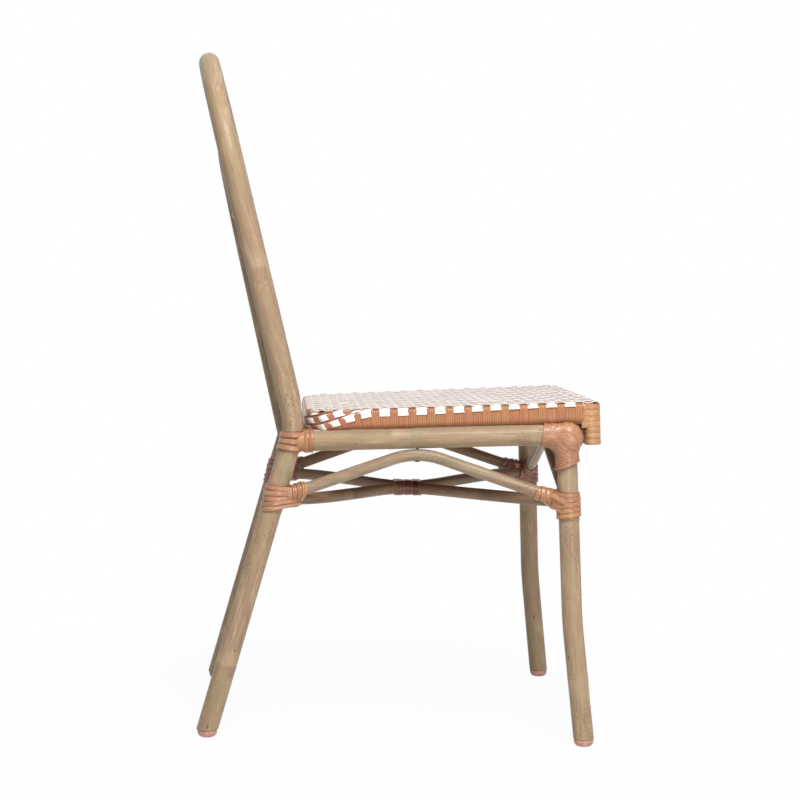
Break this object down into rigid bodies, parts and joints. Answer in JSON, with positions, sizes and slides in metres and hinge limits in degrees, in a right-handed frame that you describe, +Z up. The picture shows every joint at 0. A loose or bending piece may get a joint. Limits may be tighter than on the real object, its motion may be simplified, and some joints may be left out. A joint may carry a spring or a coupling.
{
  "type": "rattan bistro chair",
  "caption": "Cafe chair with a bent rattan frame, an arched back, a woven seat with a front apron, arches under the rails and bowed cross braces",
  "frame": {"origin": "on the floor under the middle of the chair's bounding box", "axes": "+Z up, the chair faces -Y, +X to the sitter's left"},
  "size_m": [0.466, 0.5467, 0.9179],
  "materials": {
    "rattan_pole": "satin lacquered rattan",
    "rattan_rod": "satin lacquered rattan",
    "binding_strip": "satin rattan peel",
    "woven_cane": "satin woven strip",
    "seat_frame_wood": "plain wood",
    "glide_plastic": "matte",
    "screw_steel": "dark plated"
  },
  "bodies": {
    "root": {"back_hoop_and_rear_legs": "rattan_pole", "front_leg_and_rail_left": "rattan_pole", "front_leg_and_rail_right": "rattan_pole", "front_crossbar": "rattan_pole", "rear_crossbar": "rattan_pole", "inner_back_hoop": "rattan_pole", "front_arch": "rattan_rod", "side_arch_left": "rattan_rod", "side_arch_right": "rattan_rod", "brace_left": "rattan_rod", "brace_right": "rattan_rod", "back_lower_bar": "rattan_rod", "back_spacer_top": "rattan_rod", "back_spacer_left": "rattan_rod", "back_spacer_right": "rattan_rod", "centre_binding": "binding_strip", "rear_upper_binding_left": "binding_strip", "rear_upper_binding_right": "binding_strip", "rear_lower_binding_left": "binding_strip", "rear_lower_binding_right": "binding_strip", "front_lower_binding_left": "binding_strip", "front_lower_binding_right": "binding_strip", "front_corner_binding_left": "binding_strip", "front_corner_binding_right": "binding_strip", "seat_weave_cover": "woven_cane", "back_weave_panel": "woven_cane", "seat_frame": "seat_frame_wood", "seat_slat_front": "seat_frame_wood", "seat_slat_rear": "seat_frame_wood", "glide_front_left": "glide_plastic", "glide_front_right": "glide_plastic", "glide_rear_left": "glide_plastic", "glide_rear_right": "glide_plastic", "front_arch_screw": "screw_steel", "side_arch_screw_left": "screw_steel", "side_arch_screw_right": "screw_steel"}
  },
  "joints": []
}
